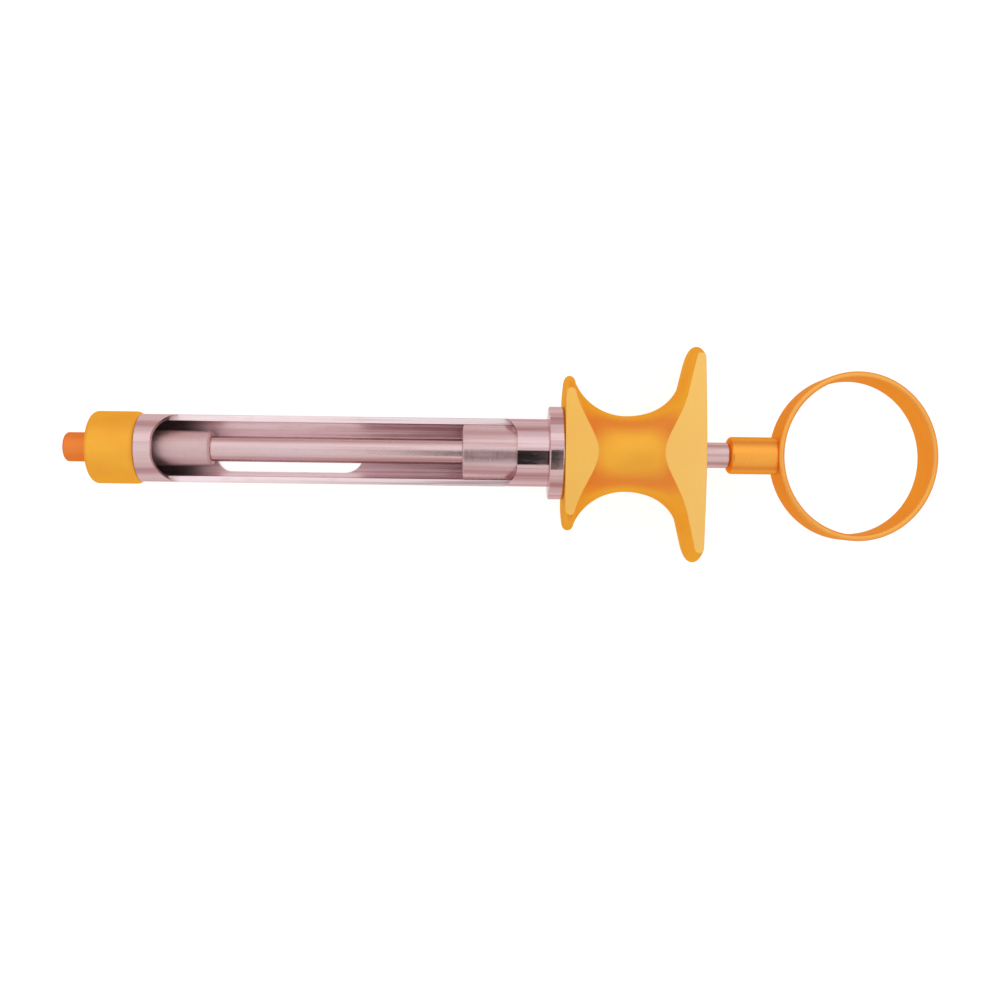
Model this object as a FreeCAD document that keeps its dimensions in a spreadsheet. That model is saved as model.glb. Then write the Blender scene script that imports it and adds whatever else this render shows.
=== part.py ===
"""Side-loading aspirating dental syringe for 1.8 ml glass cartridges.

Frame: millimetres, +X from the needle tip towards the thumb ring along the syringe's axis,
+Z up, out of the loading window.  The origin is the centre of the needle tip's front face.
The syringe lies on its back, on the lower flat of the finger grip.
"""
import FreeCAD, Part
import math
import os

import Sketcher

SHEET = "sizes"
FULL_TURN = 360.0
LEAST_CUT = 0.1          # a cut that takes off fewer cubic millimetres than this has missed
BEYOND = 25.0            # how far a cutting outline reaches past the grip on each side

# Driving dimensions in millimetres.  A "station" is a distance behind the needle tip's front face.
DRIVING_SIZES = {
    # needle adaptor: a plain cap with a round tip that the needle's hub goes on
    "tip_length": 5.0,
    "tip_radius": 2.6,
    "tip_round": 0.6,
    "cannula_radius": 1.3,
    "recess_radius": 2.2,
    "recess_depth": 2.2,
    "adaptor_length": 8.6,
    "adaptor_radius": 6.4,
    "adaptor_round": 1.0,
    "socket_depth": 5.5,
    "washer_thickness": 0.5,
    "washer_hole_radius": 3.0,
    # barrel: a tube with a loading window in front and a viewing slot in its back
    "spigot_radius": 5.1,
    "seat_wall": 3.8,
    "seat_hole_radius": 2.9,
    "cap_pocket_radius": 4.0,
    "cap_pocket_depth": 2.2,
    "barrel_radius": 6.0,
    "barrel_bore_radius": 4.9,
    "rear_thread_radius": 5.8,
    "rear_thread_length": 4.0,
    "window_front": 16.5,
    "window_rear": 79.8,
    "window_half_width": 6.5,
    "front_corner_length": 5.8,
    "front_corner_width": 4.8,
    "front_corner_radius": 5.4,
    "rear_corner_length": 4.4,
    "rear_corner_width": 3.5,
    "rear_corner_radius": 4.2,
    "slot_front": 25.5,
    "slot_rear": 52.0,
    "slot_radius": 3.1,
    "slot_offset": 0.8,
    # lock collar between the barrel and the finger grip
    "collar_station": 85.25,
    "collar_length": 2.7,
    "collar_radius": 8.2,
    "collar_round": 0.3,
    # finger grip: a waisted spool, cut flat above and below
    "grip_length": 24.25,
    "front_flange_radius": 13.65,
    "front_flange_round": 0.9,
    "front_arc_radius": 10.0,
    "waist_radius": 6.7,
    "waist_station": 98.95,
    "waist_arc_radius": 13.2,
    "waist_arc_angle": 17.0,
    "rear_arc_radius": 8.9,
    "rear_arc_angle": 76.4,
    "rear_flange_radius": 19.0,
    "rear_flange_round": 0.8,
    "rear_face_dome": 0.5,
    "flat_half_height": 8.3,
    "flat_edge_round": 0.12,
    "spring_bore_radius": 5.3,
    "rear_wall": 4.7,
    "bearing_seat_radius": 3.6,
    # rear bearing with the friction ring, and the spring's seat
    "rear_bearing_length": 4.4,
    "groove_station": 1.7,
    "groove_length": 1.1,
    "groove_radius": 3.15,
    "ring_wire_radius": 0.42,
    "spring_seat_thickness": 0.6,
    "spring_seat_radius": 5.2,
    "spring_seat_hole_radius": 2.7,
    # spring-loaded cartridge guide
    "guide_station": 70.25,
    "guide_radius": 4.82,
    "guide_round": 0.25,
    "guide_pocket_radius": 3.4,
    "guide_pocket_depth": 18.5,
    "flange_gap": 0.1,
    "flange_radius": 5.2,
    "flange_thickness": 1.2,
    "spring_pilot_radius": 3.85,
    "spring_pilot_length": 1.2,
    # spring
    "spring_radius": 4.5,
    "spring_wire_radius": 0.3,
    "spring_turns": 6.5,
    # plunger
    "rod_radius": 2.25,
    "running_gap": 0.04,
    "rod_thread_radius": 1.6,
    "rod_front_thread": 4.0,
    "rod_rear_thread": 5.2,
    "head_station": 12.5,
    "head_rear": 25.9,
    "head_radius": 3.12,
    "head_edge": 0.35,
    "harpoon_length": 6.3,
    "harpoon_shank_radius": 0.75,
    "harpoon_barb_radius": 1.15,
    "harpoon_barb_length": 1.9,
    "harpoon_barb_back": 0.3,
    "harpoon_thread_radius": 0.9,
    "harpoon_thread_length": 3.0,
    # thumb ring and its stem
    "stem_station": 117.0,
    "stem_radius": 3.28,
    "stem_round": 0.8,
    "ring_station": 139.2,
    "ring_half_length": 13.95,
    "ring_half_breadth": 14.8,
    "ring_thickness": 1.1,
    "ring_width": 7.8,
    "ring_rim_round": 0.5,
}


class Size:
    """A length with the spreadsheet expression that gives it, so that sizes can be added up."""

    def __init__(self, value, text):
        self.value = value
        self.text = text

    def joined(self, other, sign, value):
        other_text = other.text if isinstance(other, Size) else repr(other)
        return Size(value, f"({self.text} {sign} {other_text})")

    def __add__(self, other):
        return self.joined(other, "+", self.value + number(other))

    def __sub__(self, other):
        return self.joined(other, "-", self.value - number(other))

    def __mul__(self, other):
        return self.joined(other, "*", self.value * number(other))

    def __truediv__(self, other):
        return self.joined(other, "/", self.value / number(other))


def number(size):
    """The plain value of a Size or a number."""
    return size.value if isinstance(size, Size) else float(size)


def sine(size):
    """The sine of an angle in degrees."""
    return Size(math.sin(math.radians(size.value)), f"sin({size.text} * 1deg)")


def cosine(size):
    """The cosine of an angle in degrees."""
    return Size(math.cos(math.radians(size.value)), f"cos({size.text} * 1deg)")


def root(size):
    """The square root."""
    return Size(math.sqrt(size.value), f"sqrt({size.text})")


doc = FreeCAD.newDocument("dental_syringe")
sheet = doc.addObject("Spreadsheet::Sheet", SHEET)
size = {}
for row, (alias, value) in enumerate(DRIVING_SIZES.items(), start=1):
    sheet.set(f"A{row}", alias)
    sheet.set(f"B{row}", str(value))
    sheet.setAlias(f"B{row}", alias)
    size[alias] = Size(value, f"{SHEET}.{alias}")
doc.recompute()

ZERO = Size(0.0, "0")
pieces = []


def new_body(label, station=ZERO):
    """An empty body whose own origin is on the syringe's axis, at a station along it."""
    body = doc.addObject("PartDesign::Body", label)
    body.Label = label
    body.setExpression("Placement.Base.x", station.text)
    pieces.append(body)
    return body


def new_sketch(body, name, plane_role):
    """A sketch on one of the body's own origin planes."""
    sketch = body.newObject("Sketcher::SketchObject", name)
    plane = next(item for item in body.Origin.OriginFeatures if item.Role == plane_role)
    sketch.AttachmentSupport = [(plane, "")]
    sketch.MapMode = "FlatFace"
    return sketch


def hold_coordinate(sketch, kind, axis, line, end, size_here):
    """Hold one coordinate of a line's end at a size, or on the axis where the size is zero."""
    if abs(number(size_here)) < 1e-9:
        sketch.addConstraint(Sketcher.Constraint("PointOnObject", line, end, axis))
        return
    index = sketch.addConstraint(Sketcher.Constraint(kind, line, end, number(size_here)))
    sketch.setExpression(f"Constraints[{index}]", size_here.text)


def arc_through(start, finish, radius, side):
    """The short arc of a given radius between two points, bulging to the left (+1) or right (-1)."""
    chord = finish - start
    middle = (start + finish) * 0.5
    left = FreeCAD.Vector(-chord.y, chord.x, 0).normalize()
    reach = math.sqrt(max(radius ** 2 - (chord.Length / 2) ** 2, 0.0))
    crest = middle + left * side * (radius - reach)
    return Part.Arc(start, crest, finish)


def draw_outline(sketch, outline):
    """Draw a closed outline of (x, y) corners; a third entry (radius, side) makes an arc to the next."""
    corners = [FreeCAD.Vector(number(entry[0]), number(entry[1]), 0) for entry in outline]
    edges = []
    for index, entry in enumerate(outline):
        start = corners[index]
        finish = corners[(index + 1) % len(corners)]
        if len(entry) == 3:
            radius, side = entry[2]
            edge = sketch.addGeometry(arc_through(start, finish, number(radius), side))
        else:
            edge = sketch.addGeometry(Part.LineSegment(start, finish))
        edges.append(edge)
    starts = []
    ends = []
    for index, edge in enumerate(edges):
        begins = sketch.getPoint(edge, 1).distanceToPoint(corners[index]) < 1e-6
        starts.append(1 if begins else 2)
        ends.append(2 if begins else 1)
    for index, edge in enumerate(edges):
        after = (index + 1) % len(edges)
        joint = Sketcher.Constraint("Coincident", edge, ends[index], edges[after], starts[after])
        sketch.addConstraint(joint)
    for index, entry in enumerate(outline):
        hold_coordinate(sketch, "DistanceX", -2, edges[index], starts[index], entry[0])
        hold_coordinate(sketch, "DistanceY", -1, edges[index], starts[index], entry[1])
        if len(entry) == 3:
            radius = entry[2][0]
            held = sketch.addConstraint(Sketcher.Constraint("Radius", edges[index], number(radius)))
            sketch.setExpression(f"Constraints[{held}]", radius.text)


def turned(label, station, outline):
    """A piece turned on a lathe about the syringe's axis, from its (station, radius) outline."""
    body = new_body(label, station)
    sketch = new_sketch(body, f"{label}_outline", "XY_Plane")
    draw_outline(sketch, outline)
    turn = body.newObject("PartDesign::Revolution", f"{label}_turned")
    turn.Profile = sketch
    turn.ReferenceAxis = (sketch, ["H_Axis"])
    turn.Angle = FULL_TURN
    return body


def cut_through(body, name, draw, direction):
    """Cut a drawn outline out of a body, upwards, downwards or both ways from its middle plane."""
    doc.recompute()
    before = body.Shape.Volume
    sketch = new_sketch(body, f"{name}_outline", "XY_Plane")
    draw(sketch)
    pocket = body.newObject("PartDesign::Pocket", name)
    pocket.Profile = sketch
    pocket.Type = "ThroughAll"
    pocket.Reversed = direction == "up"
    pocket.Midplane = direction == "both"
    doc.recompute()
    if body.Shape.Volume > before - LEAST_CUT:
        raise RuntimeError(f"{name} cut nothing")


def ring_section(inner, outer, length):
    """The outline of a plain ring or washer."""
    return [(ZERO, inner), (ZERO, outer), (length, outer), (length, inner)]


# Stations that follow from the driving dimensions
barrel_shoulder = size["tip_length"] + size["adaptor_length"]
socket_floor = barrel_shoulder - size["socket_depth"]
barrel_front = socket_floor + size["washer_thickness"]
barrel_rear = size["collar_station"] + size["collar_length"] + size["rear_thread_length"]
grip_station = size["collar_station"] + size["collar_length"]
grip_rear = grip_station + size["grip_length"]
rear_wall_station = grip_rear - size["rear_wall"]
flange_station = barrel_rear + size["flange_gap"]
rod_hole_radius = size["rod_radius"] + size["running_gap"]


def make_needle_adaptor():
    """Screw-on cap: the needle's hub goes on the tip, and its back needle through the bore."""
    tip = size["tip_length"]
    length = tip + size["adaptor_length"]
    recess_start = socket_floor - size["recess_depth"]
    socket_radius = size["spigot_radius"] + size["running_gap"]
    body_round = size["adaptor_round"]
    return turned("needle_adaptor", ZERO, [
        (ZERO, size["cannula_radius"]),
        (ZERO, size["tip_radius"] - size["tip_round"], (size["tip_round"], 1)),
        (size["tip_round"], size["tip_radius"]),
        (tip, size["tip_radius"]),
        (tip, size["adaptor_radius"] - body_round, (body_round, 1)),
        (tip + body_round, size["adaptor_radius"]),
        (length - body_round, size["adaptor_radius"], (body_round, 1)),
        (length, size["adaptor_radius"] - body_round),
        (length, socket_radius),
        (socket_floor, socket_radius),
        (socket_floor, size["recess_radius"]),
        (recess_start, size["recess_radius"]),
        (recess_start, size["cannula_radius"]),
    ])


def make_adaptor_washer():
    """Flat sealing washer that stays in the adaptor's socket."""
    section = ring_section(size["washer_hole_radius"], size["spigot_radius"], size["washer_thickness"])
    return turned("adaptor_washer", socket_floor, section)


def make_barrel():
    """Tube with a front spigot, a seat for the cartridge's cap, a loading window and a back slot."""
    spigot = barrel_shoulder - barrel_front
    pocket_end = size["seat_wall"] + size["cap_pocket_depth"]
    thread_start = size["collar_station"] - barrel_front
    length = barrel_rear - barrel_front
    body = turned("barrel", barrel_front, [
        (ZERO, size["seat_hole_radius"]),
        (ZERO, size["spigot_radius"]),
        (spigot, size["spigot_radius"]),
        (spigot, size["barrel_radius"]),
        (thread_start, size["barrel_radius"]),
        (thread_start, size["rear_thread_radius"]),
        (length, size["rear_thread_radius"]),
        (length, size["barrel_bore_radius"]),
        (pocket_end, size["barrel_bore_radius"]),
        (pocket_end, size["cap_pocket_radius"]),
        (size["seat_wall"], size["cap_pocket_radius"]),
        (size["seat_wall"], size["seat_hole_radius"]),
    ])

    front = size["window_front"] - barrel_front
    rear = size["window_rear"] - barrel_front
    half = size["window_half_width"]
    front_bend = size["front_corner_radius"]
    rear_bend = size["rear_corner_radius"]
    front_side = front + size["front_corner_length"]
    rear_side = rear - size["rear_corner_length"]
    front_corner = half - size["front_corner_width"]
    rear_corner = half - size["rear_corner_width"]

    def window_outline(sketch):
        draw_outline(sketch, [
            (front, front_corner, (front_bend, 1)),
            (front_side, half),
            (rear_side, half, (rear_bend, 1)),
            (rear, rear_corner),
            (rear, ZERO - rear_corner, (rear_bend, 1)),
            (rear_side, ZERO - half),
            (front_side, ZERO - half, (front_bend, 1)),
            (front, ZERO - front_corner),
        ])

    cut_through(body, "loading_window", window_outline, "up")

    slot_front = size["slot_front"] + size["slot_radius"] - barrel_front
    slot_rear = size["slot_rear"] - size["slot_radius"] - barrel_front
    slot_half = size["slot_radius"]
    # the slot lies a little towards the near side of the barrel's back
    middle = ZERO - size["slot_offset"]

    def slot_outline(sketch):
        draw_outline(sketch, [
            (slot_front - slot_half, middle, (slot_half, 1)),
            (slot_front, middle + slot_half),
            (slot_rear, middle + slot_half, (slot_half, 1)),
            (slot_rear + slot_half, middle, (slot_half, 1)),
            (slot_rear, middle - slot_half),
            (slot_front, middle - slot_half, (slot_half, 1)),
        ])

    cut_through(body, "back_slot", slot_outline, "down")
    return body


def make_lock_collar():
    """Round nut on the barrel's rear thread that locks the finger grip in line with the window."""
    length = size["collar_length"]
    edge = size["collar_round"]
    outer = size["collar_radius"]
    return turned("lock_collar", size["collar_station"], [
        (ZERO, size["rear_thread_radius"]),
        (ZERO, outer - edge, (edge, 1)),
        (edge, outer),
        (length - edge, outer, (edge, 1)),
        (length, outer - edge),
        (length, size["rear_thread_radius"]),
    ])


def make_finger_grip():
    """Waisted spool for two fingers, cut flat above and below, bored for the guide's spring."""
    length = size["grip_length"]
    waist = size["waist_station"] - grip_station
    front_rim = size["front_flange_round"]
    front_arc = size["front_arc_radius"]
    # the front hollow starts where its arc comes up to the inner edge of the front rim
    hollow_top = size["front_flange_radius"] - front_rim
    climb = front_arc - (hollow_top - size["waist_radius"])
    hollow_front = waist - root(front_arc * front_arc - climb * climb)
    # behind the waist a shallow arc runs into a tighter one, and that into the rear rim's slope
    waist_arc = size["waist_arc_radius"]
    turn = size["waist_arc_angle"]
    waist_arc_end = waist + waist_arc * sine(turn)
    waist_arc_top = size["waist_radius"] + waist_arc - waist_arc * cosine(turn)
    rear_arc = size["rear_arc_radius"]
    slope = size["rear_arc_angle"]
    rear_arc_end = waist_arc_end + rear_arc * (sine(slope) - sine(turn))
    rear_arc_top = waist_arc_top + rear_arc * (cosine(turn) - cosine(slope))
    rear_rim = size["rear_flange_round"]
    rim_station = length - size["rear_face_dome"] - rear_rim
    rim_centre = size["rear_flange_radius"] - rear_rim
    body = turned("finger_grip", grip_station, [
        (ZERO, size["rear_thread_radius"]),
        (ZERO, size["front_flange_radius"] - front_rim, (front_rim, 1)),
        (front_rim, size["front_flange_radius"], (front_rim, 1)),
        (hollow_front, hollow_top, (front_arc, -1)),
        (waist, size["waist_radius"], (waist_arc, -1)),
        (waist_arc_end, waist_arc_top, (rear_arc, -1)),
        (rear_arc_end, rear_arc_top),
        (rim_station - rear_rim * sine(slope), rim_centre + rear_rim * cosine(slope), (rear_rim, 1)),
        (rim_station, size["rear_flange_radius"], (rear_rim, 1)),
        (rim_station + rear_rim, rim_centre),
        (length, size["bearing_seat_radius"]),
        (length - size["rear_wall"], size["bearing_seat_radius"]),
        (length - size["rear_wall"], size["spring_bore_radius"]),
        (barrel_rear - grip_station, size["spring_bore_radius"]),
        (barrel_rear - grip_station, size["rear_thread_radius"]),
    ])

    beyond = Size(BEYOND, str(BEYOND))
    for name, side in (("upper_flat", 1), ("lower_flat", -1)):
        doc.recompute()
        before = body.Shape.Volume
        sketch = new_sketch(body, f"{name}_outline", "XZ_Plane")
        near = size["flat_half_height"] * side
        far = beyond * side
        rear = length + beyond
        draw_outline(sketch, [(ZERO - beyond, near), (ZERO - beyond, far), (rear, far), (rear, near)])
        pocket = body.newObject("PartDesign::Pocket", name)
        pocket.Profile = sketch
        pocket.Type = "ThroughAll"
        pocket.Midplane = True
        doc.recompute()
        if body.Shape.Volume > before - LEAST_CUT:
            raise RuntimeError(f"{name} cut nothing")

    height = size["flat_half_height"].value
    flat_edges = [f"Edge{index}" for index, edge in enumerate(pocket.Shape.Edges, start=1)
                  if all(abs(abs(point.z) - height) < 1e-4 for point in edge.discretize(5))]
    rounding = body.newObject("PartDesign::Fillet", "flat_edges")
    rounding.Base = (pocket, flat_edges)
    rounding.setExpression("Radius", size["flat_edge_round"].text)
    return body


def make_rear_bearing():
    """Plain bearing pressed into the grip's rear wall, grooved for the friction ring."""
    length = size["rear_bearing_length"]
    groove_end = size["groove_station"] + size["groove_length"]
    return turned("rear_bearing", rear_wall_station, [
        (ZERO, rod_hole_radius),
        (ZERO, size["bearing_seat_radius"]),
        (length, size["bearing_seat_radius"]),
        (length, rod_hole_radius),
        (groove_end, rod_hole_radius),
        (groove_end, size["groove_radius"]),
        (size["groove_station"], size["groove_radius"]),
        (size["groove_station"], rod_hole_radius),
    ])


def make_rod_friction_ring():
    """Rubber ring in the rear bearing's groove: it gives the plunger its drag."""
    ring = doc.addObject("Part::Torus", "rod_friction_ring")
    ring.Label = "rod_friction_ring"
    wire = size["ring_wire_radius"]
    ring.setExpression("Radius1", (rod_hole_radius + wire).text)
    ring.setExpression("Radius2", wire.text)
    middle = rear_wall_station + size["groove_station"] + size["groove_length"] / 2
    ring.Placement = FreeCAD.Placement(FreeCAD.Vector(0, 0, 0), FreeCAD.Rotation(FreeCAD.Vector(0, 1, 0), 90))
    ring.setExpression("Placement.Base.x", middle.text)
    pieces.append(ring)
    return ring


def make_spring_seat():
    """Washer that the spring pushes against, in front of the grip's rear wall."""
    thickness = size["spring_seat_thickness"]
    section = ring_section(size["spring_seat_hole_radius"], size["spring_seat_radius"], thickness)
    return turned("spring_seat", rear_wall_station - thickness, section)


def make_guide_bush():
    """Sliding cup that presses on the cartridge's rear; the plunger's head draws back into it."""
    flange_front = flange_station - size["guide_station"]
    flange_back = flange_front + size["flange_thickness"]
    tail = flange_back + size["spring_pilot_length"]
    edge = size["guide_round"]
    return turned("guide_bush", size["guide_station"], [
        (ZERO, size["guide_pocket_radius"]),
        (ZERO, size["guide_radius"] - edge, (edge, 1)),
        (edge, size["guide_radius"]),
        (flange_front, size["guide_radius"]),
        (flange_front, size["flange_radius"]),
        (flange_back, size["flange_radius"]),
        (flange_back, size["spring_pilot_radius"]),
        (tail, size["spring_pilot_radius"]),
        (tail, size["guide_pocket_radius"]),
    ])


def make_guide_bearing():
    """Plain bearing pressed into the back of the guide bush, which runs on the rod."""
    station = size["guide_station"] + size["guide_pocket_depth"]
    tail = flange_station + size["flange_thickness"] + size["spring_pilot_length"]
    section = ring_section(rod_hole_radius, size["guide_pocket_radius"], tail - station)
    return turned("guide_bearing", station, section)


def make_guide_spring():
    """Compression spring between the guide's flange and the spring seat."""
    wire = size["spring_wire_radius"]
    front = flange_station + size["flange_thickness"]
    back = rear_wall_station - size["spring_seat_thickness"]
    body = new_body("guide_spring", front + wire)
    sketch = new_sketch(body, "spring_wire_section", "XY_Plane")
    centre = FreeCAD.Vector(0, size["spring_radius"].value, 0)
    circle = sketch.addGeometry(Part.Circle(centre, FreeCAD.Vector(0, 0, 1), wire.value))
    held = sketch.addConstraint(Sketcher.Constraint("Radius", circle, wire.value))
    sketch.setExpression(f"Constraints[{held}]", wire.text)
    sketch.addConstraint(Sketcher.Constraint("PointOnObject", circle, 3, -2))
    height = sketch.addConstraint(Sketcher.Constraint("DistanceY", circle, 3, centre.y))
    sketch.setExpression(f"Constraints[{height}]", size["spring_radius"].text)
    coil = body.newObject("PartDesign::AdditiveHelix", "spring_coil")
    coil.Profile = sketch
    coil.ReferenceAxis = (sketch, ["H_Axis"])
    coil.Mode = "height-turns-angle"
    coil.Angle = 0
    coil.Growth = 0
    coil.setExpression("Height", (back - front - wire * 2).text)
    coil.setExpression("Turns", size["spring_turns"].text)
    return body


def make_plunger_rod():
    """Round rod with a threaded end for the head and another for the thumb ring's stem."""
    front = size["rod_front_thread"]
    shoulder = size["stem_station"] - size["head_rear"] + front
    end = shoulder + size["rod_rear_thread"]
    return turned("plunger_rod", size["head_rear"] - front, [
        (ZERO, ZERO),
        (ZERO, size["rod_thread_radius"]),
        (front, size["rod_thread_radius"]),
        (front, size["rod_radius"]),
        (shoulder, size["rod_radius"]),
        (shoulder, size["rod_thread_radius"]),
        (end, size["rod_thread_radius"]),
        (end, ZERO),
    ])


def make_piston_head():
    """Head that pushes the cartridge's stopper, bored in front for the harpoon."""
    length = size["head_rear"] - size["head_station"]
    thread_start = length - size["rod_front_thread"]
    edge = size["head_edge"]
    return turned("piston_head", size["head_station"], [
        (ZERO, size["harpoon_thread_radius"]),
        (ZERO, size["head_radius"] - edge),
        (edge, size["head_radius"]),
        (length - edge, size["head_radius"]),
        (length, size["head_radius"] - edge),
        (length, size["rod_thread_radius"]),
        (thread_start, size["rod_thread_radius"]),
        (thread_start, ZERO),
        (size["harpoon_thread_length"], ZERO),
        (size["harpoon_thread_length"], size["harpoon_thread_radius"]),
    ])


def make_harpoon():
    """Barbed point that grips the stopper, so that drawing back on the ring aspirates."""
    barb = size["harpoon_barb_length"]
    back = size["harpoon_barb_back"]
    shank = size["harpoon_shank_radius"]
    thread_start = size["harpoon_length"]
    end = thread_start + size["harpoon_thread_length"]
    return turned("harpoon", size["head_station"] - size["harpoon_length"], [
        (ZERO, ZERO),
        (barb, size["harpoon_barb_radius"]),
        (barb + back, shank),
        (barb * 2, size["harpoon_barb_radius"]),
        (barb * 2 + back, shank),
        (thread_start, shank),
        (thread_start, size["harpoon_thread_radius"]),
        (end, size["harpoon_thread_radius"]),
        (end, ZERO),
    ])


def draw_oval(sketch, centre_x, half_length, half_breadth):
    """Draw an oval whose long axis lies across the syringe, with its centre on the syringe's axis."""
    centre = FreeCAD.Vector(centre_x.value, 0, 0)
    top = centre + FreeCAD.Vector(0, half_breadth.value, 0)
    side = centre - FreeCAD.Vector(half_length.value, 0, 0)
    oval = sketch.addGeometry(Part.Ellipse(top, side, centre))
    long_axis = sketch.GeometryCount
    sketch.exposeInternalGeometry(oval)
    short_axis = long_axis + 1
    sketch.addConstraint(Sketcher.Constraint("Vertical", long_axis))
    for axis, half in ((long_axis, half_breadth), (short_axis, half_length)):
        held = sketch.addConstraint(Sketcher.Constraint("Distance", axis, number(half) * 2))
        sketch.setExpression(f"Constraints[{held}]", (half * 2).text)
    sketch.addConstraint(Sketcher.Constraint("PointOnObject", oval, 3, -1))
    hold_coordinate(sketch, "DistanceX", -2, oval, 3, centre_x)


def make_ring_stem():
    """Round stem, tapped for the rod, whose rear end is hollowed to fit round the thumb ring."""
    bore_end = size["rod_rear_thread"]
    to_ring = size["ring_station"] - size["stem_station"]
    end = to_ring - size["ring_half_length"] + size["ring_thickness"]
    edge = size["stem_round"]
    body = turned("ring_stem", size["stem_station"], [
        (ZERO, size["rod_thread_radius"]),
        (ZERO, size["stem_radius"] - edge, (edge, 1)),
        (edge, size["stem_radius"]),
        (end, size["stem_radius"]),
        (end, ZERO),
        (bore_end, ZERO),
        (bore_end, size["rod_thread_radius"]),
    ])

    def ring_outline(sketch):
        draw_oval(sketch, to_ring, size["ring_half_length"], size["ring_half_breadth"])

    cut_through(body, "ring_saddle", ring_outline, "both")
    return body


def make_thumb_ring():
    """Broad thin oval band for the thumb, with rounded rims."""
    wall = size["ring_thickness"]
    body = new_body("thumb_ring", size["ring_station"])
    sketch = new_sketch(body, "band_outline", "XY_Plane")
    draw_oval(sketch, ZERO, size["ring_half_length"], size["ring_half_breadth"])
    draw_oval(sketch, ZERO, size["ring_half_length"] - wall, size["ring_half_breadth"] - wall)
    band = body.newObject("PartDesign::Pad", "band")
    band.Profile = sketch
    band.Midplane = True
    band.setExpression("Length", size["ring_width"].text)
    doc.recompute()
    rims = [f"Edge{index}" for index, edge in enumerate(band.Shape.Edges, start=1)
            if abs(edge.BoundBox.ZMax - edge.BoundBox.ZMin) < 1e-6]
    rounding = body.newObject("PartDesign::Fillet", "band_rims")
    rounding.Base = (band, rims)
    rounding.setExpression("Radius", size["ring_rim_round"].text)
    return body


def check_document():
    """Stop if any object failed, or any piece's shape is missing or broken."""
    for item in doc.Objects:
        for flag in ("Invalid", "Error"):
            if flag in item.State:
                raise RuntimeError(f"{item.Name} is {flag}")
    for piece in pieces:
        if piece.Shape.isNull() or not piece.Shape.isValid() or not piece.Shape.Solids:
            raise RuntimeError(f"{piece.Label} has no sound solid")


def main():
    make_needle_adaptor()
    make_adaptor_washer()
    make_barrel()
    make_lock_collar()
    make_finger_grip()
    make_rear_bearing()
    make_rod_friction_ring()
    make_spring_seat()
    make_guide_bush()
    make_guide_bearing()
    make_guide_spring()
    make_plunger_rod()
    make_piston_head()
    make_harpoon()
    make_ring_stem()
    make_thumb_ring()
    doc.recompute()
    check_document()
    os.makedirs("parts", exist_ok=True)
    for piece in pieces:
        piece.Shape.exportStep(f"parts/{piece.Label}.step")
        box = piece.Shape.optimalBoundingBox()
        print(f"{piece.Label:18s} {piece.Shape.Volume:9.1f} mm3  "
              f"x {box.XMin:7.2f} {box.XMax:7.2f}  y {box.YMin:7.2f} {box.YMax:7.2f}  "
              f"z {box.ZMin:7.2f} {box.ZMax:7.2f}")


main()
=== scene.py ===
"""Looks for the side-loading aspirating dental syringe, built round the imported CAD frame.

Everything is in metres in the CAD's own frame: +X from the needle tip to the thumb ring,
+Z up out of the loading window.
"""

import math

import bpy
from mathutils import Matrix, Vector


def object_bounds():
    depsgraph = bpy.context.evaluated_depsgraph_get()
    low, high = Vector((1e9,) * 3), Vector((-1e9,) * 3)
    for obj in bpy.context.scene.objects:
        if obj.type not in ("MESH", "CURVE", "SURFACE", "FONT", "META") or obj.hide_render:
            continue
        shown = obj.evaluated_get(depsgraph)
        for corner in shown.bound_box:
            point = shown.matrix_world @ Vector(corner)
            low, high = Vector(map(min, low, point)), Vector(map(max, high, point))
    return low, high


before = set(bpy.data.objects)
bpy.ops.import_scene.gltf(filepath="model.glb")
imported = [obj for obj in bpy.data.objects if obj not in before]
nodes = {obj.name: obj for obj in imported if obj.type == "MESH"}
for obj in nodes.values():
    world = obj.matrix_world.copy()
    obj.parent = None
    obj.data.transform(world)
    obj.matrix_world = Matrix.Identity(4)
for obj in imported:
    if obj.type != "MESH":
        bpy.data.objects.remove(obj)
cad_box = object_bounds()


# ---------------------------------------------------------------- camera
# It looks straight down into the loading window from close by, a little from the near side.

CAMERA_PLACE = Vector((0.07699, -0.00969, 0.20175))
CAMERA_PITCH = 0.0058
CAMERA_ROLL = 0.0133
CAMERA_LENS_MM = 40.95
SENSOR_WIDTH_MM = 36.0
CAMERA_NEAR = 0.005
CAMERA_FAR = 20.0


def make_camera():
    data = bpy.data.cameras.new("camera")
    data.sensor_width = SENSOR_WIDTH_MM
    data.lens = CAMERA_LENS_MM
    data.clip_start = CAMERA_NEAR
    data.clip_end = CAMERA_FAR
    camera = bpy.data.objects.new("camera", data)
    bpy.context.scene.collection.objects.link(camera)
    turn = Matrix.Rotation(CAMERA_PITCH, 4, "X") @ Matrix.Rotation(CAMERA_ROLL, 4, "Z")
    camera.matrix_world = Matrix.Translation(CAMERA_PLACE) @ turn
    bpy.context.scene.camera = camera


make_camera()
bpy.context.scene.view_settings.view_transform = "Standard"


# ---------------------------------------------------------------- shader graphs

def rgb(red, green, blue):
    return (red, green, blue, 1.0)


BLACK = rgb(0.0, 0.0, 0.0)
WHITE = rgb(1.0, 1.0, 1.0)

# How far the bevelled normal leans from the true one, as their dot product, on a face and on an edge
ON_FACE = 0.995
ON_EDGE = 0.90


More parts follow.
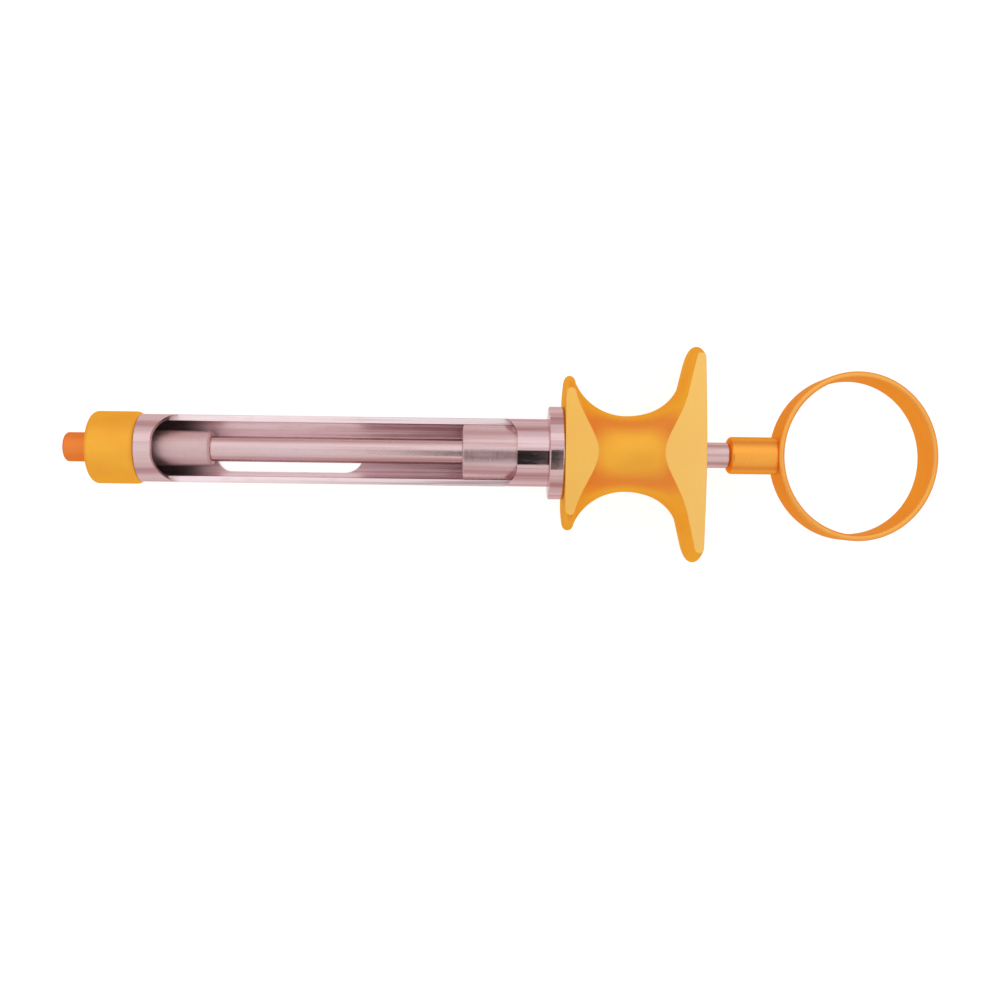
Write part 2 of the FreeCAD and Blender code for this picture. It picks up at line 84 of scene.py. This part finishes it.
class Graph:
    """The shader nodes of one material, added one call at a time."""

    def __init__(self, name, roughness, metallic):
        self.material = bpy.data.materials.new(name)
        self.material.use_nodes = True
        self.tree = self.material.node_tree
        self.shader = self.tree.nodes["Principled BSDF"]
        self.shader.inputs["Metallic"].default_value = metallic
        self.shader.inputs["Roughness"].default_value = roughness
        self.place = self.add("ShaderNodeTexCoord").outputs["Object"]

    def add(self, kind, **settings):
        node = self.tree.nodes.new(kind)
        for name, value in settings.items():
            setattr(node, name, value)
        return node

    def plug(self, socket, value):
        """Link an output into a socket, or set the socket to a plain value."""
        if isinstance(value, bpy.types.NodeSocket):
            self.tree.links.new(value, socket)
        else:
            socket.default_value = value

    def noise(self, stretch, detail=2.0, rough=0.5):
        """Noise over the piece, with this many waves per metre along X, Y and Z."""
        mapping = self.add("ShaderNodeMapping")
        self.plug(mapping.inputs["Vector"], self.place)
        mapping.inputs["Scale"].default_value = stretch
        noise = self.add("ShaderNodeTexNoise")
        self.plug(noise.inputs["Vector"], mapping.outputs["Vector"])
        noise.inputs["Scale"].default_value = 1.0
        noise.inputs["Detail"].default_value = detail
        noise.inputs["Roughness"].default_value = rough
        return noise.outputs["Fac"]

    def spread(self, value, low, high, to_low=0.0, to_high=1.0):
        """Map low..high of a value to to_low..to_high, and hold it there outside."""
        node = self.add("ShaderNodeMapRange")
        self.plug(node.inputs["Value"], value)
        node.inputs["From Min"].default_value = low
        node.inputs["From Max"].default_value = high
        node.inputs["To Min"].default_value = to_low
        node.inputs["To Max"].default_value = to_high
        return node.outputs["Result"]

    def math(self, operation, first, second):
        node = self.add("ShaderNodeMath", operation=operation)
        self.plug(node.inputs[0], first)
        self.plug(node.inputs[1], second)
        return node.outputs["Value"]

    def unsigned(self, value):
        """A value without its sign."""
        node = self.add("ShaderNodeMath", operation="ABSOLUTE")
        self.plug(node.inputs[0], value)
        return node.outputs["Value"]

    def blend(self, factor, first, second):
        """Mix two colours."""
        node = self.add("ShaderNodeMix", data_type="RGBA")
        self.plug(node.inputs["Factor"], factor)
        self.plug(node.inputs["A"], first)
        self.plug(node.inputs["B"], second)
        return node.outputs["Result"]

    def bump(self, height, depth, below=None):
        """Raise the surface by depth metres where height is 1, on top of another bump."""
        node = self.add("ShaderNodeBump")
        node.inputs["Distance"].default_value = depth
        self.plug(node.inputs["Height"], height)
        if below is not None:
            self.plug(node.inputs["Normal"], below)
        return node.outputs["Normal"]

    def edges(self, radius):
        """1 along sharp edges, within a radius in metres, and 0 on open faces."""
        bevel = self.add("ShaderNodeBevel", samples=6)
        bevel.inputs["Radius"].default_value = radius
        geometry = self.add("ShaderNodeNewGeometry")
        dot = self.add("ShaderNodeVectorMath", operation="DOT_PRODUCT")
        self.plug(dot.inputs[0], bevel.outputs["Normal"])
        self.plug(dot.inputs[1], geometry.outputs["Normal"])
        return self.spread(dot.outputs["Value"], ON_FACE, ON_EDGE)

    def along(self, axis):
        """The place along one axis of the syringe, in metres."""
        split = self.add("ShaderNodeSeparateXYZ")
        self.plug(split.inputs["Vector"], self.place)
        return split.outputs[axis]

    def off_axis(self):
        """The distance from the syringe's axis, in metres."""
        across = self.add("ShaderNodeVectorMath", operation="MULTIPLY")
        self.plug(across.inputs[0], self.place)
        across.inputs[1].default_value = (0.0, 1.0, 1.0)
        length = self.add("ShaderNodeVectorMath", operation="LENGTH")
        self.plug(length.inputs[0], across.outputs["Vector"])
        return length.outputs["Value"]

    def height(self):
        """The distance above or below the syringe's middle plane, in metres."""
        return self.unsigned(self.along("Z"))

    def upright(self):
        """1 where the surface faces straight up or down, 0 where it faces sideways."""
        split = self.add("ShaderNodeSeparateXYZ")
        self.plug(split.inputs["Vector"], self.add("ShaderNodeTexCoord").outputs["Normal"])
        return self.unsigned(split.outputs["Z"])

    def dim(self, colour, level):
        """A colour turned down to a level, where 1 leaves it as it is."""
        return self.blend(level, BLACK, colour)

    def finish(self, colour, roughness, normal):
        self.plug(self.shader.inputs["Base Color"], colour)
        self.plug(self.shader.inputs["Roughness"], roughness)
        self.plug(self.shader.inputs["Normal"], normal)
        return self.material


# ---------------------------------------------------------------- marks and masks

# Waves of noise per metre along X, Y and Z. Noise stretched round the X axis makes lathe marks,
# and stretched along X it makes drawn streaks.
LATHE_MARKS = (9000.0, 260.0, 260.0)
DRAWN_STREAKS = (60.0, 3200.0, 3200.0)
# Used only for the painted reflection streaks on the chrome
LONG_STREAKS = (22.0, 1300.0, 1300.0)
FINE_GRAIN = (9000.0, 9000.0, 9000.0)

# The thumb ring was turned about Z
RING_MARKS = (700.0, 700.0, 7000.0)

# Noise seldom leaves these limits, so they are spread over the whole of what it drives
WIDE = (0.3, 0.7)
NARROW = (0.35, 0.65)

# Where masks begin and end, in metres: along X, out from the axis, or up from the middle plane
GRIP_FLATS_FROM = (0.00818, 0.00828)
# Along X, the painted highlight on the grip's flats grows between these
FLATS_HIGHLIGHT_FADE = (0.088, 0.112)
RING_RIMS_FROM = (0.0034, 0.0038)
ADAPTOR_TIP_END = (0.0046, 0.0050)
BARREL_FACE_FROM = (0.00590, 0.00597)
BARREL_BORE_WALL = (0.00492, 0.00500)
# Along X, the painted shade in the bore fades out between these
FRONT_SHADE_FADE = (0.0200, 0.0240)
# Along X, the painted reflection streaks on the chrome grow in between these
STREAK_REFLECTION_FADE = (0.040, 0.065)

# How far up the grip's shoulders face: the painted shade fades in over the first and out over the
# second
SHOULDERS_BEGIN = (0.40, 0.62)
SHOULDERS_END = (0.72, 0.90)


def nowhere(graph):
    return 0.0


def everywhere(graph):
    return 1.0


def painted_shade_all_over(graph):
    """Painted shade: a little deeper orange all over, for the stem and the ring."""
    return 0.6


def grip_flats_painted_highlight(graph):
    """Painted highlight: the milled flats of the finger grip, made paler, more so towards the rear
    flange.
    """
    flats = graph.spread(graph.height(), *GRIP_FLATS_FROM)
    return graph.math("MULTIPLY", flats, graph.spread(graph.along("X"), *FLATS_HIGHLIGHT_FADE, 0.55, 0.85))


def grip_shoulders_painted_shade(graph):
    """Painted shade on the shoulders on both sides of the flats, deeper orange where they face partly
    up or down.
    """
    rising = graph.spread(graph.upright(), *SHOULDERS_BEGIN)
    falling = graph.spread(graph.upright(), *SHOULDERS_END, 0.7, 0.0)
    return graph.math("MULTIPLY", rising, falling)


def ring_rims_painted_highlight(graph):
    """Painted highlight on the rounded rims of the thumb ring."""
    return graph.spread(graph.height(), *RING_RIMS_FROM, 0.0, 0.2)


def adaptor_tip(graph):
    """The adaptor's tip, deeper orange."""
    return graph.spread(graph.along("X"), *ADAPTOR_TIP_END, 1.0, 0.0)


def barrel_unpolished_painted_light(graph):
    """The barrel's bore and the milled edges of its openings, inside the polished outer face. They are
    made rougher, and lighter in colour as painted light in the shaded bore.
    """
    return graph.spread(graph.off_axis(), *BARREL_FACE_FROM, 1.0, 0.0)


def barrel_front_painted_shade(graph):
    """Painted shade: the bore is darkened at its closed front end."""
    front_shade = graph.spread(graph.along("X"), *FRONT_SHADE_FADE, 0.50, 1.0)
    clear_of_bore = graph.spread(graph.off_axis(), *BARREL_BORE_WALL)
    return graph.math("MAXIMUM", front_shade, clear_of_bore)


# ---------------------------------------------------------------- materials

GOLD_LIGHT = rgb(1.0, 0.56, 0.064)
GOLD_DEEP = rgb(0.96, 0.48, 0.056)
# Used for the painted highlights on the grip's flats and the ring's rims, and for the real grain and
# worn edges
GOLD_PALE = rgb(1.0, 0.66, 0.20)
GOLD_ORANGE = rgb(0.92, 0.29, 0.060)
GOLD_TINT = rgb(0.85, 0.45, 0.15)
GOLD_CLOUD = (70.0, 110.0, 110.0)
GOLD_LINE_DEPTH = 0.000002
GOLD_GRAIN_DEPTH = 0.000003
WORN_EDGE = 0.0002


def gold_anodised(name, marks, haze, painted_highlight=nowhere, orange=nowhere):
    """Satin gold anodising over a fine machined grain, with painted highlights in some places and
    deeper orange, mostly painted shade, in others.
    """
    graph = Graph(name, haze, 0.9)
    cloud = graph.noise(GOLD_CLOUD, 3.0)
    grain = graph.noise(FINE_GRAIN)
    lines = graph.noise(marks)
    body = graph.blend(graph.spread(cloud, *NARROW), GOLD_DEEP, GOLD_LIGHT)
    # Deeper orange: painted shade on the grip's shoulders, the stem and the ring, and a plain deeper
    # orange at the adaptor's tip
    body = graph.blend(orange(graph), body, GOLD_ORANGE)
    # Painted highlights on the grip's flats and the ring's rims
    body = graph.blend(painted_highlight(graph), body, GOLD_PALE)
    body = graph.blend(graph.spread(grain, 0.4, 0.8, 0.0, 0.15), body, GOLD_PALE)
    body = graph.blend(graph.math("MULTIPLY", graph.edges(WORN_EDGE), 0.2), body, GOLD_PALE)
    roughness = graph.math("ADD", graph.spread(grain, *WIDE, haze - 0.04, haze + 0.02),
                           graph.spread(lines, *WIDE, 0.0, 0.06))
    normal = graph.bump(lines, GOLD_LINE_DEPTH)
    normal = graph.bump(grain, GOLD_GRAIN_DEPTH, normal)
    graph.shader.inputs["Specular Tint"].default_value = GOLD_TINT
    return graph.finish(body, roughness, normal)


CHROME_WARM = rgb(0.70, 0.49, 0.475)
CHROME_COOL = rgb(0.72, 0.54, 0.56)
# Serves both the real smears and the painted reflection streaks
CHROME_SMEAR_AND_REFLECTION = rgb(0.60, 0.38, 0.39)
# Painted light: the lighter colour of the shaded bore and cut edges
CHROME_BORE_PAINTED_LIGHT = rgb(0.97, 0.82, 0.85)
CHROME_TINT = rgb(0.85, 0.7, 0.7)
CHROME_CLOUD = (40.0, 160.0, 160.0)
CHROME_SMEARS = (300.0, 700.0, 700.0)
CHROME_LINE_DEPTH = 0.0000001


def chrome_plate(name, marks, haze, dull_and_painted_light=nowhere, level=everywhere):
    """Bright chrome with a rosy cast, drawing streaks and smears, hazy where it wasn't polished and
    painted lighter there as painted light.

    Dark streaks are painted along it as painted reflections, stronger towards the thumb ring.
    """
    graph = Graph(name, haze, 1.0)
    cloud = graph.noise(CHROME_CLOUD, 3.0)
    lines = graph.noise(marks)
    streaks = graph.noise(LONG_STREAKS, 3.0)
    smear = graph.noise(CHROME_SMEARS, 4.0, 0.6)
    unpolished_and_painted_light = dull_and_painted_light(graph)
    body = graph.blend(graph.spread(cloud, *NARROW), CHROME_WARM, CHROME_COOL)
    # Painted light: the unpolished bore and edges are blended towards a lighter colour
    body = graph.blend(unpolished_and_painted_light, body, CHROME_BORE_PAINTED_LIGHT)
    body = graph.blend(graph.spread(smear, 0.55, 0.8, 0.0, 0.25), body, CHROME_SMEAR_AND_REFLECTION)
    # Painted reflections: dark streaks along X, stronger towards the thumb ring
    streak_reflections = graph.spread(graph.along("X"), *STREAK_REFLECTION_FADE, 0.25, 0.90)
    streak_reflections = graph.math("MULTIPLY", streak_reflections, graph.spread(streaks, 0.45, 0.60))
    body = graph.blend(streak_reflections, body, CHROME_SMEAR_AND_REFLECTION)
    # Dimmed where level is below 1: the painted shade at the barrel's closed front end
    body = graph.dim(body, level(graph))
    roughness = graph.math("ADD", graph.spread(lines, *WIDE, haze * 0.85, haze * 1.15),
                           graph.spread(smear, 0.5, 0.8, 0.0, 0.10))
    roughness = graph.math("ADD", roughness, graph.math("MULTIPLY", unpolished_and_painted_light, 0.3))
    normal = graph.bump(lines, CHROME_LINE_DEPTH)
    graph.shader.inputs["Specular Tint"].default_value = CHROME_TINT
    return graph.finish(body, roughness, normal)


STEEL_DARK = rgb(0.52, 0.48, 0.48)
STEEL_LIGHT = rgb(0.60, 0.56, 0.56)
STEEL_CLOUD = (120.0, 120.0, 120.0)
BRONZE_BRIGHT = rgb(0.62, 0.38, 0.15)
BRONZE_BROWN = rgb(0.38, 0.22, 0.10)
BRONZE_TARNISH = (500.0, 500.0, 500.0)
METAL_LINE_DEPTH = 0.000002


def ground_steel(name, marks):
    """Ground stainless steel, greyer and duller than the plated parts."""
    graph = Graph(name, 0.3, 1.0)
    lines = graph.noise(marks)
    cloud = graph.noise(STEEL_CLOUD, 3.0)
    body = graph.blend(graph.spread(cloud, *NARROW), STEEL_DARK, STEEL_LIGHT)
    roughness = graph.spread(lines, *WIDE, 0.22, 0.36)
    return graph.finish(body, roughness, graph.bump(lines, METAL_LINE_DEPTH))


def bearing_bronze(name):
    """Plain bearing bronze with lathe marks and a slightly browned skin."""
    graph = Graph(name, 0.35, 1.0)
    lines = graph.noise(LATHE_MARKS)
    tarnish = graph.noise(BRONZE_TARNISH, 4.0, 0.6)
    body = graph.blend(graph.spread(tarnish, 0.4, 0.7), BRONZE_BRIGHT, BRONZE_BROWN)
    roughness = graph.spread(lines, *WIDE, 0.28, 0.42)
    return graph.finish(body, roughness, graph.bump(lines, METAL_LINE_DEPTH))


RUBBER_BLACK = rgb(0.018, 0.018, 0.020)
RUBBER_DUSTY = rgb(0.05, 0.05, 0.052)
RUBBER_BLOOM = (900.0, 900.0, 900.0)
RUBBER_GRAIN_DEPTH = 0.000008


def black_rubber(name):
    """Matt black rubber with a dusty bloom."""
    graph = Graph(name, 0.7, 0.0)
    grain = graph.noise(FINE_GRAIN, 3.0)
    bloom = graph.noise(RUBBER_BLOOM, 3.0)
    body = graph.blend(graph.spread(bloom, 0.4, 0.7), RUBBER_BLACK, RUBBER_DUSTY)
    roughness = graph.spread(grain, *WIDE, 0.6, 0.8)
    return graph.finish(body, roughness, graph.bump(grain, RUBBER_GRAIN_DEPTH))


WASHER_WHITE = rgb(0.82, 0.81, 0.78)
WASHER_GREY = rgb(0.74, 0.73, 0.70)
WASHER_SKIVING = (200.0, 4000.0, 300.0)
WASHER_MARK_DEPTH = 0.000005
WASHER_SCATTER = (0.001, 0.001, 0.001)


def white_washer(name):
    """Waxy white fluoropolymer with skiving marks."""
    graph = Graph(name, 0.45, 0.0)
    marks = graph.noise(WASHER_SKIVING, 3.0)
    body = graph.blend(graph.spread(marks, 0.35, 0.7), WASHER_WHITE, WASHER_GREY)
    graph.shader.inputs["Subsurface Weight"].default_value = 0.1
    graph.shader.inputs["Subsurface Radius"].default_value = WASHER_SCATTER
    roughness = graph.spread(marks, *WIDE, 0.38, 0.52)
    return graph.finish(body, roughness, graph.bump(marks, WASHER_MARK_DEPTH))


MATERIALS = {
    "needle_adaptor": gold_anodised("adaptor_gold", LATHE_MARKS, 0.60, orange=adaptor_tip),
    "finger_grip": gold_anodised("grip_gold", LATHE_MARKS, 0.54, grip_flats_painted_highlight, grip_shoulders_painted_shade),
    "ring_stem": gold_anodised("stem_gold", LATHE_MARKS, 0.28, orange=painted_shade_all_over),
    "thumb_ring": gold_anodised("ring_gold", RING_MARKS, 0.42, ring_rims_painted_highlight, painted_shade_all_over),
    "barrel": chrome_plate("barrel_chrome", DRAWN_STREAKS, 0.10, barrel_unpolished_painted_light, barrel_front_painted_shade),
    "lock_collar": chrome_plate("collar_chrome", LATHE_MARKS, 0.10),
    "guide_bush": chrome_plate("guide_chrome", LATHE_MARKS, 0.30),
    "plunger_rod": chrome_plate("rod_chrome", DRAWN_STREAKS, 0.24),
    "piston_head": chrome_plate("head_chrome", LATHE_MARKS, 0.50),
    "harpoon": ground_steel("harpoon_steel", LATHE_MARKS),
    "guide_spring": ground_steel("spring_steel", FINE_GRAIN),
    "spring_seat": ground_steel("seat_steel", LATHE_MARKS),
    "guide_bearing": bearing_bronze("guide_bronze"),
    "rear_bearing": bearing_bronze("rear_bronze"),
    "rod_friction_ring": black_rubber("friction_rubber"),
    "adaptor_washer": white_washer("washer_white"),
}


def dress(node, material):
    """Give a CAD node its material in place of the plain one it came with."""
    slots = nodes[node].data.materials
    slots.clear()
    slots.append(material)


for node_name, node_material in MATERIALS.items():
    dress(node_name, node_material)


# ---------------------------------------------------------------- floor and light

FLOOR_HALF = 2.0
FLOOR_GREY = rgb(0.25, 0.25, 0.25)
FLOOR_GLOW = 0.87

DARK_CARD_X = (0.050, 0.101)
DARK_CARD_Y = (-0.19, 0.018)
DARK_CARD_BLACK = rgb(0.01, 0.01, 0.01)

LAMP_PLACE = (0.077, 0.42, 0.56)
LAMP_TARGET = (0.077, 0.0, 0.0)
LAMP_WIDTH = 1.4
LAMP_DEPTH = 0.46
LAMP_COLOUR = (0.93, 1.0, 1.06)
LAMP_BRIGHTNESS = 0.17

# The light from the surroundings, from straight down (0) by the horizon (0.5) to straight up (1)
SURROUNDINGS = (
    (0.00, rgb(0.90, 0.87, 0.86)),
    (0.30, rgb(0.92, 0.87, 0.86)),
    (0.46, rgb(0.66, 0.50, 0.50)),
    (0.56, rgb(0.64, 0.47, 0.47)),
    (0.70, rgb(0.86, 0.79, 0.79)),
    (0.90, rgb(0.95, 0.94, 0.94)),
    (1.00, WHITE),
)


def flat_card(name, corners, material):
    """A flat sheet that is part of the stage, not of the syringe."""
    mesh = bpy.data.meshes.new(name)
    mesh.from_pydata(corners, [], [(0, 1, 2, 3)])
    mesh.materials.append(material)
    card = bpy.data.objects.new(name, mesh)
    bpy.context.scene.collection.objects.link(card)
    return card


def plain_material(name, colour, glow):
    """A matt colour that also gives off a white glow."""
    material = bpy.data.materials.new(name)
    material.use_nodes = True
    shader = material.node_tree.nodes["Principled BSDF"]
    shader.inputs["Base Color"].default_value = colour
    shader.inputs["Roughness"].default_value = 1.0
    shader.inputs["Specular IOR Level"].default_value = 0.0
    shader.inputs["Emission Color"].default_value = WHITE
    shader.inputs["Emission Strength"].default_value = glow
    return material


def make_floor():
    """A pale floor under the syringe, which glows so that it shows white, and isn't reflected."""
    level = cad_box[0][2]
    corners = [(x * FLOOR_HALF, y * FLOOR_HALF, level) for x, y in ((-1, -1), (1, -1), (1, 1), (-1, 1))]
    floor = flat_card("floor", corners, plain_material("floor_white", FLOOR_GREY, FLOOR_GLOW))
    floor.visible_glossy = False


def make_dark_card():
    """A dark card level with the camera, which only shows as a reflection in the metal."""
    x_low, x_high = DARK_CARD_X
    y_low, y_high = DARK_CARD_Y
    height = CAMERA_PLACE.z
    corners = [(x_low, y_low, height), (x_high, y_low, height),
               (x_high, y_high, height), (x_low, y_high, height)]
    card = flat_card("dark_card", corners, plain_material("card_black", DARK_CARD_BLACK, 0.0))
    card.visible_camera = False
    card.visible_diffuse = False
    card.visible_shadow = False


def make_lamp():
    """A soft box overhead, on the far side. At brightness 1 its face would show pure white."""
    data = bpy.data.lights.new("overhead", "AREA")
    data.color = LAMP_COLOUR
    data.shape = "RECTANGLE"
    data.size = LAMP_WIDTH
    data.size_y = LAMP_DEPTH
    data.energy = LAMP_BRIGHTNESS * math.pi * LAMP_WIDTH * LAMP_DEPTH
    lamp = bpy.data.objects.new("overhead", data)
    bpy.context.scene.collection.objects.link(lamp)
    lamp.location = LAMP_PLACE
    direction = Vector(LAMP_TARGET) - Vector(LAMP_PLACE)
    lamp.rotation_euler = direction.to_track_quat("-Z", "Y").to_euler()


def make_world():
    """White to look at; in the metal's reflections, brighter above and below than at the sides."""
    world = bpy.data.worlds.new("studio")
    world.use_nodes = True
    tree = world.node_tree
    place = tree.nodes.new("ShaderNodeTexCoord")
    split = tree.nodes.new("ShaderNodeSeparateXYZ")
    tree.links.new(place.outputs["Generated"], split.inputs["Vector"])
    rise = tree.nodes.new("ShaderNodeMapRange")
    tree.links.new(split.outputs["Z"], rise.inputs["Value"])
    rise.inputs["From Min"].default_value = -1.0
    ramp = tree.nodes.new("ShaderNodeValToRGB")
    tree.links.new(rise.outputs["Result"], ramp.inputs["Fac"])
    stops = ramp.color_ramp.elements
    while len(stops) < len(SURROUNDINGS):
        stops.new(0.5)
    for stop, (position, colour) in zip(stops, SURROUNDINGS):
        stop.position = position
        stop.color = colour
    rays = tree.nodes.new("ShaderNodeLightPath")
    seen = tree.nodes.new("ShaderNodeMix")
    seen.data_type = "RGBA"
    tree.links.new(rays.outputs["Is Camera Ray"], seen.inputs["Factor"])
    tree.links.new(ramp.outputs["Color"], seen.inputs["A"])
    seen.inputs["B"].default_value = WHITE
    background = tree.nodes["Background"]
    tree.links.new(seen.outputs["Result"], background.inputs["Color"])
    bpy.context.scene.world = world


make_world()
make_floor()
make_dark_card()
make_lamp()
